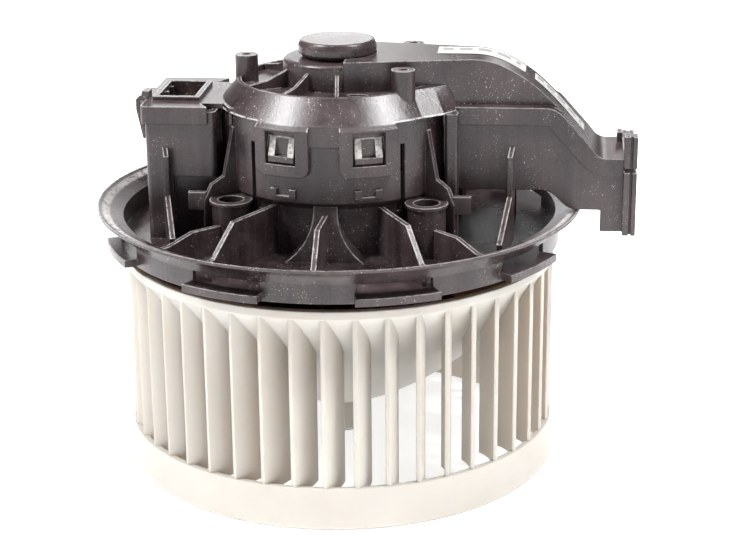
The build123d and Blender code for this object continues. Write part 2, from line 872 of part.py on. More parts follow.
# Carrier: flange, motor cup, body wall, connector box and lower half of the duct, in one moulding
with BuildPart() as motor_carrier:
    # Connector box and duct trough, cleared where the round body passes through them
    with BuildSketch(Plane.XY):
        with Locations(((box_left + box_right) / 2, 0)):
            RectangleRounded(box_right - box_left, 2 * box_half_width, box_wall)
    extrude(amount=box_top)
    for side in (-1, 1):
        with BuildSketch(Plane.XY):
            recess_length = box_right - box_recess_left
            with Locations((box_right - recess_length / 2, side * box_half_width)):
                Rectangle(recess_length, 2 * box_recess)
        extrude(amount=box_recess_top, mode=Mode.SUBTRACT)
    with BuildSketch(Plane.XY):
        with Locations(((box_left + box_right) / 2, 0)):
            Rectangle(box_right - box_left - 2 * box_wall, 2 * (box_half_width - box_wall - box_recess))
    extrude(amount=box_top, mode=Mode.SUBTRACT)
    with BuildSketch(Plane.XY):
        for side in (-1, 1):
            with Locations(((box_left + box_right) / 2, side * connector_rib_y)):
                Rectangle(box_right - box_left - box_wall, rib_thickness)
    extrude(amount=connector_seat)
    add(duct_trough)
    add(outlet_flanges(outlet_bottom, outlet_parting, -outlet_half_width, outlet_half_width))
    add(duct_trough_space, mode=Mode.SUBTRACT)
    with BuildSketch(Plane.XY.offset(outlet_bottom)):
        with Locations((duct_end - outlet_foot_length / 2, 0)):
            Rectangle(outlet_foot_length, 2 * trough_half_width)
            Rectangle(outlet_foot_length, 2 * (trough_half_width - 2 * duct_wall), mode=Mode.SUBTRACT)
    extrude(amount=duct_bottom - outlet_bottom)
    with BuildSketch(Plane.YZ.offset(duct_end)):
        with Locations((0, (duct_bottom + duct_wall + outlet_parting) / 2)):
            Rectangle(2 * (trough_half_width - duct_wall), outlet_parting - duct_bottom - duct_wall)
    extrude(amount=outlet_end - duct_end, mode=Mode.SUBTRACT)
    with BuildSketch(Plane.XY):
        Circle(body_radius - body_wall / 2)
    extrude(amount=duct_crest, mode=Mode.SUBTRACT)

    # Flange, floor, cup and body wall, turned about the shaft
    with BuildSketch(Plane.XZ):
        with BuildLine():
            flare = ThreePointArc(
                (flange_radius, flare_start),
                (flare_radius, flare_height),
                (flange_rim_radius, flange_height - flange_rim_thickness),
            )
            Polyline(
                flare @ 1,
                (flange_rim_radius, flange_height),
                (flange_inner_radius, flange_inner_height),
                (flange_inner_radius, 0),
                (recess_radius, 0),
                (recess_radius, panel_bottom - panel_ledge),
                (body_radius, panel_bottom),
                (body_radius, body_top),
                (body_radius - body_wall, body_top),
                (body_radius - body_wall, panel_bottom),
                (recess_radius - body_wall, panel_bottom - panel_ledge / 2),
                (recess_radius - body_wall, 0),
                (cup_radius - body_wall, -floor_thickness),
                (cup_radius - body_wall, cup_bottom + cup_lip_thickness),
                (cup_lip_radius, cup_bottom + cup_lip_thickness),
                (cup_lip_radius, cup_bottom),
                (cup_radius, cup_bottom),
                (cup_radius, -floor_thickness),
                (flange_inner_radius, -floor_thickness),
                (flange_inner_radius, flange_bottom),
                (flange_radius, flange_bottom),
                flare @ 0,
            )
        make_face()
    revolve(axis=Axis.Z)

    for facing in (-1, 1):
        side = 90 * facing
        # Ribs from the body to the flange
        add(radial_rib(side, rib_outline(rib_shoulder_radius, rib_height, rib_root_height)))
        for turn in (-rib_angle, rib_angle):
            add(radial_rib(side + turn, rib_outline(rib_shoulder_radius, rib_height, rib_height)))
        for turn in (-low_rib_angle, low_rib_angle):
            low_outline = rib_outline(low_rib_shoulder_radius, low_rib_height, low_rib_height)
            add(radial_rib(side + turn, low_outline))

        # Fins that stand up to the cover
        for turn in (-fin_angle, fin_angle):
            add(radial_rib(side + turn, fin_outline))

        # Bayonet lugs round the flange, each under a window through the wall
        for lug_angle in lug_angles:
            with BuildSketch(Plane.XY.offset(-lug_height)):
                add(sector(flange_inner_radius, lug_radius, facing * lug_angle, lug_span))
            extrude(amount=lug_height)
            with BuildSketch(Plane.XY):
                window_middle = facing * lug_angle
                add(sector(flange_inner_radius - 1, flange_radius + 1, window_middle, lug_window_span))
            extrude(amount=lug_window_height, mode=Mode.SUBTRACT)

        # Grooves beside the panel
        for turn in (-groove_angle, groove_angle):
            with BuildSketch(radial_plane(side + turn)):
                with Locations((body_radius, (groove_bottom + groove_top) / 2)):
                    Rectangle(3 * body_wall, groove_top - groove_bottom)
            extrude(amount=groove_width / 2, both=True, mode=Mode.SUBTRACT)

        # Flared buttress behind the middle rib
        add(flared_buttress(facing))

        # Snap catches for the cover's loops, each with a small step below it
        for turn in (-loop_angle, loop_angle):
            catch_plane = radial_plane(side + turn)
            catch_tip = body_radius + catch_depth
            with BuildSketch(catch_plane):
                with BuildLine():
                    Polyline(
                        (body_radius - catch_root, catch_bottom),
                        (catch_tip, catch_bottom),
                        (catch_tip, catch_bottom + catch_land),
                        (body_radius, catch_bottom + catch_height),
                        (body_radius - catch_root, catch_bottom + catch_height),
                        close=True,
                    )
                make_face()
            extrude(amount=catch_half_width, both=True)
            with BuildSketch(catch_plane):
                with Locations((body_radius + catch_depth / 2, catch_bottom + catch_land + catch_height / 2)):
                    Rectangle(catch_depth, catch_height)
            extrude(amount=catch_half_width / 2, both=True, mode=Mode.SUBTRACT)
            with BuildSketch(catch_plane):
                with Locations((body_radius, step_bottom + step_height / 2)):
                    Rectangle(2 * step_depth, step_height)
            extrude(amount=catch_half_width, both=True)
            with BuildSketch(catch_plane):
                with Locations((body_radius + step_depth, step_bottom + step_notch + step_height / 2)):
                    Rectangle(2 * step_depth, step_height)
            extrude(amount=catch_half_width / 2, both=True, mode=Mode.SUBTRACT)

        # Gussets on the box and on the duct
        for foot, toe in ((box_gusset_foot, box_gusset_toe), (duct_gusset_foot, duct_gusset_toe)):
            outline = gusset_outline(hypot(toe[0] - foot[0], toe[1] - foot[1]))
            add(upright_rib((foot[0], facing * foot[1]), (toe[0], facing * toe[1]), outline))

        # Posts, pillars beside the duct and brackets in front of the box and the pillars
        for post_side in (-post_x, post_x):
            for height, base, radius, mode in (
                (post_height, 0, post_stem_radius, Mode.ADD),
                (post_height, post_height - post_cap_height, post_radius, Mode.ADD),
                (post_height, post_height - post_bore_depth, post_bore_radius, Mode.SUBTRACT),
            ):
                with BuildSketch(Plane.XY.offset(base)):
                    with Locations((post_side, facing * post_y)):
                        Circle(radius)
                extrude(amount=height - base, mode=mode)
        for pillar_back, pillar_top in (
            (duct_ledge_half_width + seat_clearance, body_top),
            (trough_half_width - duct_wall / 2, duct_ledge - skirt_depth - seat_clearance),
        ):
            with BuildSketch(Plane.XY):
                with Locations((pillar_x, facing * (pillar_front + pillar_back) / 2)):
                    RectangleRounded(pillar_width, pillar_front - pillar_back, pillar_round)
            extrude(amount=pillar_top)
        for bracket_side in (-bracket_x, bracket_x):
            with BuildSketch(Plane.XY.offset(bracket_bottom)):
                with Locations((bracket_side, facing * (bracket_front + bracket_back) / 2)):
                    Rectangle(bracket_width, bracket_front - bracket_back)
            extrude(amount=bracket_height)

    # Window for the leads between the body and the box
    with BuildSketch(Plane.YZ.offset(box_right - box_wall)):
        with Locations((0, (box_window_bottom + body_top) / 2)):
            Rectangle(2 * box_window_half_width, body_top - box_window_bottom)
    extrude(amount=2 * box_wall, mode=Mode.SUBTRACT)
    with BuildSketch(Plane.XY.offset(box_window_bottom)):
        with Locations((-body_radius, 0)):
            Rectangle(4 * body_wall, 2 * box_window_half_width)
    extrude(amount=body_top - box_window_bottom, mode=Mode.SUBTRACT)
save(motor_carrier, "motor_carrier")


# Rubber rings that hold the motor case in the carrier
for name, outer_radius, bottom, height in (
    ("isolator_ring_lower", cup_radius - body_wall, cup_bottom + cup_lip_thickness, isolator_height),
    ("isolator_ring_upper", body_radius - body_wall, panel_bottom, isolator_height),
):
    with BuildPart() as isolator:
        with BuildSketch(Plane.XY.offset(bottom)):
            Circle(outer_radius)
            Circle(can_radius, mode=Mode.SUBTRACT)
            with PolarLocations(outer_radius, isolator_notches):
                Circle(isolator_notch_radius, mode=Mode.SUBTRACT)
        extrude(amount=height)
    save(isolator, name)


# Connector housing in the lid, its two blade pins, and the leads from the brush card
connector_bottom = connector_seat
socket_length_x = connector_length_x - 2 * connector_wall
socket_length_y = connector_length_y - 2 * connector_wall
with BuildPart() as connector_housing:
    for bottom, collar in ((connector_bottom, 0), (lid_top, 2 * connector_collar)):
        with BuildSketch(Plane.XY.offset(bottom)):
            with Locations((connector_x, 0)):
                RectangleRounded(
                    connector_length_x + collar, connector_length_y + collar, connector_wall / 2
                )
        extrude(amount=connector_top - bottom)
    with BuildSketch(Plane.XY.offset(connector_bottom + connector_floor)):
        with Locations((connector_x, 0)):
            Rectangle(socket_length_x, socket_length_y)
    extrude(amount=connector_top - connector_bottom, mode=Mode.SUBTRACT)
    with BuildSketch(Plane.XY.offset(connector_bottom)):
        with Locations((connector_x, -blade_pin_y), (connector_x, blade_pin_y)):
            Rectangle(blade_pin_thickness, blade_pin_width)
    extrude(amount=connector_floor, mode=Mode.SUBTRACT)
    with BuildSketch(Plane.XY.offset(connector_bottom + connector_floor)):
        key_x = connector_x - socket_length_x / 2 + connector_key / 2
        with Locations((key_x, -connector_key_y), (key_x, 0), (key_x, connector_key_y)):
            Rectangle(connector_key, connector_key)
    extrude(amount=connector_top - connector_bottom - connector_floor - connector_key)
save(connector_housing, "connector_housing")

for polarity, side in (("positive", -1), ("negative", 1)):
    with BuildPart() as blade_pin:
        with BuildSketch(Plane.XZ.offset(-side * blade_pin_y)):
            with Locations((connector_x, (blade_pin_bottom + blade_pin_top) / 2)):
                Rectangle(blade_pin_thickness, blade_pin_top - blade_pin_bottom)
        extrude(amount=blade_pin_width / 2, both=True)
        tip_edges = blade_pin.faces().sort_by(Axis.Z)[-1].edges().filter_by(Axis.X)
        chamfer(tip_edges, length=blade_pin_thickness)
    save(blade_pin, f"blade_pin_{polarity}")

    with BuildPart() as lead:
        with BuildSketch(Plane.XZ.offset(-side * blade_pin_y)):
            with BuildLine() as route:
                Polyline(
                    (lead_riser_x, can_top),
                    (lead_riser_x, lead_height),
                    (lead_drop_x, lead_height),
                    (lead_drop_x, blade_pin_bottom + blade_pin_thickness),
                    (connector_x + blade_pin_thickness / 2, blade_pin_bottom + blade_pin_thickness),
                )
            trace(line_width=blade_pin_thickness)
        extrude(amount=lead_width / 2, both=True)
    save(lead, f"lead_{polarity}")


# Cover: bevelled deck with the hub boss, lid over the connector box, and the duct's upper half
cover_channel = duct_body(
    duct_plan(channel_start, duct_root_half_width, duct_half_width, duct_end_half_width),
    duct_side(crest_line, 0, ledge_line, cover_wall),
)
cover_channel_space = duct_body(
    duct_plan(
        channel_start,
        duct_root_half_width - duct_wall,
        duct_half_width - duct_wall,
        duct_end_half_width - duct_wall,
    ),
    duct_side(crest_line, duct_wall, ledge_line, 2 * skirt_depth),
)
cover_ledge = duct_body(
    duct_plan(duct_start, duct_ledge_half_width, duct_ledge_half_width, duct_ledge_half_width),
    duct_side(ledge_line, 0, ledge_line, skirt_depth),
)
skirt_half_width = duct_ledge_half_width - skirt_wall
cover_skirt_space = duct_body(
    duct_plan(duct_start, skirt_half_width, skirt_half_width, skirt_half_width),
    duct_side(ledge_line, cover_wall, ledge_line, 2 * skirt_depth),
)


def body_space(height):
    # Room for the round body under the bevel, and above it up to the height
    cone_radius = deck_radius - cover_wall / 2
    with BuildPart() as space:
        with BuildSketch(Plane.XZ):
            with BuildLine():
                Polyline(
                    (0, 0),
                    (body_radius + seat_clearance, 0),
                    (body_radius + seat_clearance, bevel_bottom),
                    (cone_radius, bevel_top - cover_wall),
                    (cone_radius, height),
                    (0, height),
                    close=True,
                )
            make_face()
        revolve(axis=Axis.Z)
    return space.part


def fairing_plan(corners, height):
    with BuildSketch(Plane.XY.offset(height)) as plan:
        with BuildLine():
            Polyline(*corners, *((x, -y) for x, y in reversed(corners)), close=True)
        make_face()
    return plan.sketch


with BuildPart() as top_cover:
    # Lid over the connector box, with a skirt round it
    lid_left = box_left - seat_clearance - skirt_wall
    lid_half_width = box_half_width + seat_clearance + skirt_wall
    with BuildSketch(Plane.XY.offset(lid_top - skirt_depth)):
        with Locations((lid_left / 2, 0)):
            RectangleRounded(-lid_left, 2 * lid_half_width, box_wall)
    extrude(amount=skirt_depth)
    with BuildSketch(Plane.XY.offset(lid_top - skirt_depth)):
        with Locations(((lid_left + skirt_wall) / 2, 0)):
            RectangleRounded(-lid_left - skirt_wall, 2 * (lid_half_width - skirt_wall), box_wall)
    extrude(amount=skirt_depth - lid_plate, mode=Mode.SUBTRACT)
    with BuildSketch(Plane.XY.offset(lid_top - skirt_depth)):
        for side in (-1, 1):
            with BuildLine():
                Polyline(*((x, side * y) for x, y in lid_corner), close=True)
            make_face()
    extrude(amount=skirt_depth, mode=Mode.SUBTRACT)

    # Fairing that carries the bevel out to the duct
    loft([fairing_plan(fairing_foot, bevel_bottom), fairing_plan(fairing_head, bevel_top)])
    add(cover_ledge)
    add(cover_skirt_space, mode=Mode.SUBTRACT)

    add(body_space(duct_crest), mode=Mode.SUBTRACT)

    # Air channel to the hub, with a round seat for the cap
    add(cover_channel)
    add(cover_channel_space, mode=Mode.SUBTRACT)
    add(body_space(deck_height), mode=Mode.SUBTRACT)
    with BuildSketch(Plane.XY.offset(hub_boss_top)):
        Circle(cap_radius + cap_gap)
    extrude(amount=duct_crest, mode=Mode.SUBTRACT)

    # Bevel, deck and hub boss, turned about the shaft
    with BuildSketch(Plane.XZ) as bevel_section:
        with BuildLine():
            Polyline(
                (bevel_radius, bevel_bottom),
                (deck_radius, bevel_top),
                (deck_radius - deck_rim, bevel_top),
                (deck_radius - deck_rim, deck_height),
                (hub_boss_radius + hub_boss_taper, deck_height),
                (hub_boss_radius, hub_boss_top),
                (hub_opening_radius, hub_boss_top),
                (hub_opening_radius, hub_boss_top - cover_wall),
                (hub_boss_radius - cover_wall, hub_boss_top - cover_wall),
                (hub_boss_radius - cover_wall, deck_height - cover_wall),
                (deck_radius - 2 * deck_rim, deck_height - cover_wall),
                (bevel_radius - cover_wall, bevel_bottom),
                close=True,
            )
        make_face()
        hub_corner = bevel_section.vertices().sort_by_distance((hub_boss_radius, hub_boss_top))[0]
        fillet(hub_corner, radius=hub_boss_round)
    revolve(axis=Axis.Z)
    with BuildSketch(Plane.XY.offset(deck_height)):
        Circle(hub_opening_radius)
    extrude(amount=hub_boss_top - deck_height, mode=Mode.SUBTRACT)

    # Air window from the channel through the bevel, deck and boss
    with BuildSketch(Plane.XY.offset(bevel_bottom)):
        with Locations(((hub_opening_radius + bevel_radius) / 2 + cover_wall, 0)):
            Rectangle(bevel_radius - hub_opening_radius, 2 * air_window_half_width)
    extrude(amount=hub_boss_top - cover_wall - bevel_bottom, mode=Mode.SUBTRACT)

    # Deck ribs and screw bosses
    for angle in deck_rib_angles:
        add(
            upright_rib(
                (0, 0),
                polar(1, angle),
                (
                    (hub_boss_radius - cover_wall / 2, deck_height - cover_wall / 2),
                    (deck_radius - deck_rim / 2, deck_height - cover_wall / 2),
                    (deck_radius - deck_rim / 2, bevel_top),
                    ((hub_boss_radius + deck_radius) / 2, deck_rib_waist),
                    (hub_boss_radius - cover_wall / 2, deck_rib_height),
                ),
                deck_rib_thickness,
            )
        )
    for boss_x, boss_y in ((single_boss_x, 0), (pair_boss_x, -pair_boss_y), (pair_boss_x, pair_boss_y)):
        with BuildSketch(Plane.XY.offset(deck_height - cover_wall)):
            with Locations((boss_x, boss_y)):
                Circle(boss_radius)
        extrude(amount=boss_top - deck_height + cover_wall)
        with BuildSketch(Plane.XY.offset(boss_top - boss_bore_depth)):
            with Locations((boss_x, boss_y)):
                Circle(boss_bore_radius)
        extrude(amount=boss_bore_depth, mode=Mode.SUBTRACT)
    with BuildSketch(Plane.XY.offset(deck_height - cover_wall)):
        with Locations((deck_slot_x, -deck_slot_y)):
            SlotOverall(deck_slot_length, deck_slot_width)
    extrude(amount=cover_wall, mode=Mode.SUBTRACT)

    # Band and snap loops round the body
    band_inner = body_radius + seat_clearance
    for side in (-90, 90):
        with BuildSketch(radial_plane(side - band_half_angle)):
            with Locations(((band_inner + bevel_radius) / 2, (band_bottom + bevel_bottom) / 2)):
                Rectangle(bevel_radius - band_inner, bevel_bottom - band_bottom)
        revolve(axis=Axis.Z, revolution_arc=2 * band_half_angle)
        for turn in (-loop_angle, loop_angle):
            loop_span = 2 * degrees(asin(loop_half_width / loop_radius))
            with BuildSketch(radial_plane(side + turn - loop_span / 2)):
                with BuildLine():
                    Polyline(
                        (band_inner, loop_bottom),
                        (loop_radius, loop_bottom),
                        (loop_radius, loop_top),
                        (bevel_radius, bevel_bottom),
                        (band_inner, bevel_bottom),
                        close=True,
                    )
                make_face()
            revolve(axis=Axis.Z, revolution_arc=loop_span)
            loop_face = Plane(
                origin=(*polar(loop_radius, side + turn), loop_bottom),
                x_dir=(*polar(1, side + turn + 90), 0),
                z_dir=(*polar(1, side + turn), 0),
            )
            with BuildSketch(loop_face.offset(cover_wall)):
                with Locations((0, 0)):
                    Rectangle(3 * loop_half_width, 2 * loop_round)
                with Locations((0, 2 * loop_round)):
                    RectangleRounded(
                        2 * loop_half_width, 4 * loop_round, loop_round, mode=Mode.SUBTRACT
                    )
            extrude(amount=-3 * cover_wall, mode=Mode.SUBTRACT)
            window_span = 2 * degrees(asin(loop_window_half_width / loop_radius))
            with BuildSketch(Plane.XY.offset(loop_window_bottom)):
                add(sector(band_inner - cover_wall / 2, loop_radius + cover_wall, side + turn, window_span))
            extrude(amount=loop_window_top - loop_window_bottom, mode=Mode.SUBTRACT)

    # Opening for the connector, lock block and side latch on the lid
    with BuildSketch(Plane.XY.offset(lid_top - lid_plate)):
        with Locations((connector_x, 0)):
            RectangleRounded(
                connector_length_x + 2 * seat_clearance,
                connector_length_y + 2 * seat_clearance,
                connector_wall / 2,
            )
    extrude(amount=lid_plate, mode=Mode.SUBTRACT)
    with BuildSketch(Plane.XZ):
        with BuildLine():
            Polyline(
                (lid_left + skirt_wall / 2, lid_top),
                (latch_reach + latch_wall, lid_top),
                (latch_reach, lid_top - latch_wall),
                (latch_reach, latch_knee),
                (latch_reach + latch_lean, latch_bottom),
                (latch_reach + latch_lean + latch_wall, latch_bottom),
                (latch_reach + latch_wall, latch_knee),
                (latch_reach + latch_wall, lid_top - lid_plate),
                (lid_left + skirt_wall / 2, lid_top - lid_plate),
                close=True,
            )
        make_face()
    extrude(amount=latch_half_width, both=True)
    with BuildSketch(Plane.XY.offset(lid_top)):
        with Locations((lock_block_x, -lock_block_y)):
            Rectangle(lock_block_width, lock_block_length)
    extrude(amount=lock_block_height)

    # Outlet flanges with the fixing ear, and the knob on the duct's end
    upper_parting = outlet_parting + outlet_gap
    ear_inner = outlet_ear_width - outlet_half_width
    add(outlet_flanges(upper_parting, outlet_top, -outlet_half_width, outlet_half_width))
    add(outlet_flanges(upper_parting, outlet_ear_top, -outlet_half_width, ear_inner))
    with BuildSketch(Plane.XY.offset(duct_flat)):
        with Locations((duct_end - outlet_knob_length / 2, outlet_knob_y)):
            Rectangle(outlet_knob_length, outlet_knob_width)
    extrude(amount=outlet_knob_height)
    with BuildSketch(Plane.YZ.offset(duct_end)):
        with Locations((0, (upper_parting + duct_flat - duct_wall) / 2)):
            Rectangle(2 * (duct_end_half_width - duct_wall), duct_flat - duct_wall - upper_parting)
    extrude(amount=outlet_end - duct_end, mode=Mode.SUBTRACT)
save(top_cover, "top_cover")


# Cap that plugs the hub opening
stem_radius = hub_opening_radius - cap_gap
with BuildPart() as top_cap:
    with BuildSketch(Plane.XZ):
        with BuildLine():
            Polyline(
                (0, cap_top),
                (cap_face_radius, cap_top),
                (cap_radius, cap_top - cap_bead),
                (cap_radius, hub_boss_top + cap_bead),
                (cap_radius - cap_bead, hub_boss_top),
                (stem_radius, hub_boss_top),
                (stem_radius, hub_boss_top - cap_stem_length),
                (stem_radius - cap_stem_wall, hub_boss_top - cap_stem_length),
                (stem_radius - cap_stem_wall, cap_top - cap_stem_wall),
                (0, cap_top - cap_stem_wall),
                close=True,
            )
        make_face()
    revolve(axis=Axis.Z)
    fillet(top_cap.edges().group_by(Axis.Z)[-1], radius=cap_bead / 2)
save(top_cap, "top_cap")
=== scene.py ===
# Car cabin blower motor: finishes, brush springs, labels, floor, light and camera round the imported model
import json
import math

import bmesh
import bpy
import numpy as np
from mathutils import Matrix, Vector


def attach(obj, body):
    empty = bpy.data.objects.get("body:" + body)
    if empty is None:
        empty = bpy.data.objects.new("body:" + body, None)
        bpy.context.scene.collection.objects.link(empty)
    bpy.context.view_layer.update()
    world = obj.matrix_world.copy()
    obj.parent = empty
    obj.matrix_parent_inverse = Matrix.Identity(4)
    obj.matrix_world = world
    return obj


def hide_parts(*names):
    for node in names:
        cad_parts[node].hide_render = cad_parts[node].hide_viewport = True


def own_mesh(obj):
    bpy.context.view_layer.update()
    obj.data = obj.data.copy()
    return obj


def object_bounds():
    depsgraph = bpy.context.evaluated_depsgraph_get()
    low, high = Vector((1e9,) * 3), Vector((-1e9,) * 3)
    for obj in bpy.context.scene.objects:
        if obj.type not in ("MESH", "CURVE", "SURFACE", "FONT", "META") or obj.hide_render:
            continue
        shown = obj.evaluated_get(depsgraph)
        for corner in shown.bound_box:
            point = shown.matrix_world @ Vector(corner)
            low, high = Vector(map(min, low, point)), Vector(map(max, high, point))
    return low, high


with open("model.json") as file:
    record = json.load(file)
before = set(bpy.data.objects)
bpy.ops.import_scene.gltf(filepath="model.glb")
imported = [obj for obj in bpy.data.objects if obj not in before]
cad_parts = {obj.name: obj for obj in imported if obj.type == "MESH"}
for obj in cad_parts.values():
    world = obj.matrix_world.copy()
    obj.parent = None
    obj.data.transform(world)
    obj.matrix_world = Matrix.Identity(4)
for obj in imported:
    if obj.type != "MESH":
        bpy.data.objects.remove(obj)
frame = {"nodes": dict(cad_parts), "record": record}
nodes = frame["nodes"]
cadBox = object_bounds()
print("frame loaded:", len(nodes), "nodes")


# Small helpers for meshes and node trees

# A new node; a setting is an input's value where an input has that name, and otherwise the node's own
def putNode(tree, kind, **settings):
    node = tree.nodes.new(kind)
    for name, value in settings.items():
        if name in node.inputs:
            node.inputs[name].default_value = value
        else:
            setattr(node, name, value)
    return node


def newFinish(name):
    finish = bpy.data.materials.new(name)
    finish.use_nodes = True
    tree = finish.node_tree
    shader = tree.nodes["Principled BSDF"]
    place = putNode(tree, "ShaderNodeTexCoord")
    return finish, tree, shader, place.outputs["Object"]


def noiseAt(tree, place, scale, detail=3.0, roughness=0.5, stretch=None):
    noise = putNode(tree, "ShaderNodeTexNoise", Scale=scale, Detail=detail, Roughness=roughness)
    if stretch:
        mapping = putNode(tree, "ShaderNodeMapping", Scale=stretch)
        tree.links.new(place, mapping.inputs["Vector"])
        place = mapping.outputs["Vector"]
    tree.links.new(place, noise.inputs["Vector"])
    return noise.outputs["Fac"]


def ramp(tree, value, stops):
    node = putNode(tree, "ShaderNodeValToRGB")
    band = node.color_ramp
    while len(band.elements) < len(stops):
        band.elements.new(0.5)
    for element, (position, colour) in zip(band.elements, stops):
        element.position = position
        element.color = (*colour, 1) if hasattr(colour, "__len__") else (colour, colour, colour, 1)
    tree.links.new(value, node.inputs["Fac"])
    return node.outputs["Color"]


def maths(tree, operation, first, second, clamp=False):
    node = putNode(tree, "ShaderNodeMath", operation=operation, use_clamp=clamp)
    for socket, value in zip(node.inputs, (first, second)):
        if isinstance(value, (int, float)):
            socket.default_value = value
        else:
            tree.links.new(value, socket)
    return node.outputs["Value"]


def mixColours(tree, factor, first, second):
    node = putNode(tree, "ShaderNodeMix", data_type="RGBA")
    for name, value in (("Factor", factor), ("A", first), ("B", second)):
        socket = node.inputs[name]
        if hasattr(value, "is_linked"):
            tree.links.new(value, socket)
        elif hasattr(value, "__len__"):
            socket.default_value = (*value, 1)
        else:
            socket.default_value = value
    return node.outputs["Result"]


# The part of a vector along one axis, "X", "Y" or "Z"
def partOf(tree, vector, axis):
    parts = putNode(tree, "ShaderNodeSeparateXYZ")
    tree.links.new(vector, parts.inputs["Vector"])
    return parts.outputs[axis]


def roundedNormal(tree, radius, samples=6):
    return putNode(tree, "ShaderNodeBevel", samples=samples, Radius=radius).outputs["Normal"]


# Mask for a painted highlight: 1 at outer edges and on thin tops, 0 on broad faces: rays sent inwards meet
# the piece's other side there within reach. A ramp of the rounded normal's upward part keeps edges that face
# down dark, so the painted highlight sits only on edges that face up
def litEdgeMask(tree, normal, reach, low, high, samples=8):
    depth = putNode(
        tree, "ShaderNodeAmbientOcclusion", inside=True, only_local=True, samples=samples, Distance=reach
    )
    edge = ramp(tree, depth.outputs["AO"], [(low, 1.0), (high, 0.0)])
    upward = ramp(tree, partOf(tree, normal, "Z"), [(0.08, 0.0), (0.5, 1.0)])
    return maths(tree, "MULTIPLY", edge, upward)


# 1 between two values with soft ends, 0 outside: a rise at the low one times a fall at the high one
def between(tree, value, low, high, soft):
    ends = []
    for start, end in ((low - soft, low + soft), (high + soft, high - soft)):
        rise = putNode(tree, "ShaderNodeMapRange", interpolation_type="SMOOTHSTEP")
        rise.inputs["From Min"].default_value = start
        rise.inputs["From Max"].default_value = end
        tree.links.new(value, rise.inputs["Value"])
        ends.append(rise.outputs["Result"])
    return maths(tree, "MULTIPLY", *ends)


# Distance from the motor's axis, and height, of a point in object coordinates
def radiusAndHeight(tree, place):
    flat = putNode(tree, "ShaderNodeVectorMath", operation="MULTIPLY")
    flat.inputs[1].default_value = (1, 1, 0)
    tree.links.new(place, flat.inputs[0])
    length = putNode(tree, "ShaderNodeVectorMath", operation="LENGTH")
    tree.links.new(flat.outputs["Vector"], length.inputs[0])
    return length.outputs["Value"], partOf(tree, place, "Z")


def bumpFrom(tree, height, distance, strength, normal):
    bump = putNode(tree, "ShaderNodeBump", Strength=strength, Distance=distance)
    tree.links.new(height, bump.inputs["Height"])
    tree.links.new(normal, bump.inputs["Normal"])
    return bump.outputs["Normal"]


# Roughness that the noise spreads: the middle value less the dip, plus the noise times the spread
def variedGloss(tree, noise, look):
    rise = maths(tree, "MULTIPLY", noise, look["glossSpread"])
    return maths(tree, "ADD", look["roughness"] - look["glossDip"], rise)


# Small round spots: Voronoi distance under size, kept where a broad noise is above the coverage level
def specks(tree, place, scale, size, coverage, patchSize=70):
    cells = putNode(tree, "ShaderNodeTexVoronoi", Scale=scale)
    tree.links.new(place, cells.inputs["Vector"])
    spots = ramp(tree, cells.outputs["Distance"], [(size * 0.6, 1.0), (size, 0.0)])
    patches = noiseAt(tree, place, patchSize, 3, 0.7)
    patches = ramp(tree, patches, [(coverage, 0.0), (coverage + 0.08, 1.0)])
    return maths(tree, "MULTIPLY", spots, patches)


# Black moulded plastic of the carrier, cover and connector; sizes of clouds, grain and dust are cells a metre

moulding = {
    "dark": (0.018, 0.011, 0.012),
    "light": (0.070, 0.050, 0.052),
    "cloudSize": 34,
    "broadStreakSize": 160,
    "speckleSize": 1500,
    "roughness": 0.29,
    "glossDip": 0.12,        # how much smoother than that the clouds' dark parts are
    "glossSpread": 0.24,     # how much rougher their light parts are than their dark ones
    "grainSize": 2600,
    "streakSize": 1500,
    "relief": 0.00013,       # how deep grain and streaks are
    # colour of the painted highlight on edges that face up
    "paintedEdgeHighlight": (0.50, 0.48, 0.47),
    "edgeHighlightStrength": 0.9,             # how strongly an edge that faces up gets the painted highlight
    "edgeRadius": 0.0005,
    "edgeReach": 0.0008,     # how deep rays look for the other side of an edge or a thin top
    "edgeOpen": (0.55, 0.85),          # share of those rays that meet nothing: full painted highlight, and none
    "highlightPatchSize": 520,
    # pale colour of dust specks, and of the painted highlight on the catches
    "dustAndSheen": (0.60, 0.58, 0.56),
    "dustRoughness": 0.35,   # what dust and the catches' painted highlight add to the roughness
    "dustSizes": ((560, 0.12, 0.50), (1200, 0.15, 0.47)),   # size, spot's share of a cell, coverage
    "catchFoot": (0.0412, 0.0340),     # slope of the snap catches that takes a painted highlight: radius and height of its foot
    "catchHead": (0.0394, 0.0404),
    "catchFlat": 0.0004,               # how far the flat face strays from the cone through foot and head
    "catchUnder": 0.0001,              # and how far under the cone it still counts
    "catchSides": (0.0098, 0.0190),    # where the two catches are, left and right of the middle
    "catchSoft": 0.0001,
    "sheenPatchSize": 900,
}


# Cloudy black: half clouds, three tenths streaks that run down the walls, and a fifth speckle
def mouldingColour(tree, place, look):
    cloud = noiseAt(tree, place, look["cloudSize"], 5, 0.62)
    streak = noiseAt(tree, place, look["broadStreakSize"], 4, 0.65, stretch=(1, 1, 0.08))
    speckle = noiseAt(tree, place, look["speckleSize"], 3, 0.8)
    tone = maths(tree, "ADD", maths(tree, "MULTIPLY", cloud, 0.5), maths(tree, "MULTIPLY", streak, 0.3))
    tone = maths(tree, "ADD", tone, maths(tree, "MULTIPLY", speckle, 0.2))
    tone = ramp(tree, tone, [(0.42, 0.0), (0.60, 1.0)])
    return mixColours(tree, tone, look["dark"], look["light"]), cloud
